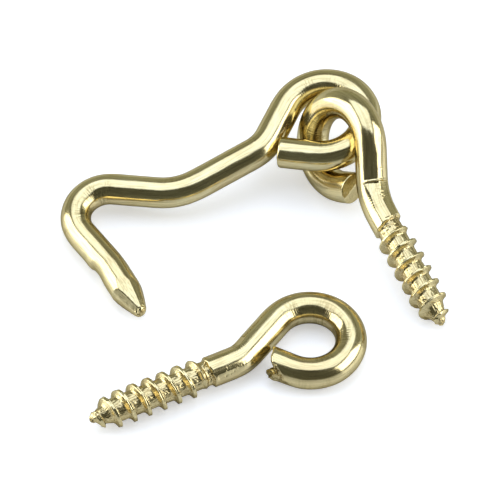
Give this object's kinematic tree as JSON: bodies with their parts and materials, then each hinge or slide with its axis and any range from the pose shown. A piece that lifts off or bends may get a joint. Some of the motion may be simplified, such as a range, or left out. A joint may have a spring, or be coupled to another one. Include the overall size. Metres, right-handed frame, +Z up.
{
  "type": "wire hook and eye",
  "caption": "Bent-wire cabin hook hung in a screw eye, with a second loose screw eye to catch it; polished brass, rolled wood-screw threads.",
  "frame": {"origin": "on the surface the set lies on, under the middle of its bounding box", "axes": "+Z up, away from the surface; +Y away from the viewer, along the longest extent of the set as it lies; +X to the viewer's right"},
  "size_m": [0.0409, 0.0434, 0.0112],
  "materials": {
    "polished_brass": "polished"
  },
  "bodies": {
    "hinge_screw_eye": {"hinge_screw_eye": "polished_brass"},
    "hook": {"hook": "polished_brass"},
    "catch_screw_eye": {"catch_screw_eye": "polished_brass"}
  },
  "joints": [
    {"name": "hook_swing", "type": "hinge", "parent": "hinge_screw_eye", "child": "hook", "pos_m": [0.00748, 0.01562, 0.00577], "axis": [-0.1059, -0.0955, 0.9898], "range_deg": [-200, 17]},
    {"name": "catch_lift", "type": "slide", "parent": "hinge_screw_eye", "child": "catch_screw_eye", "axis": [0, 0, 1], "range_m": [0, 0.04]}
  ]
}
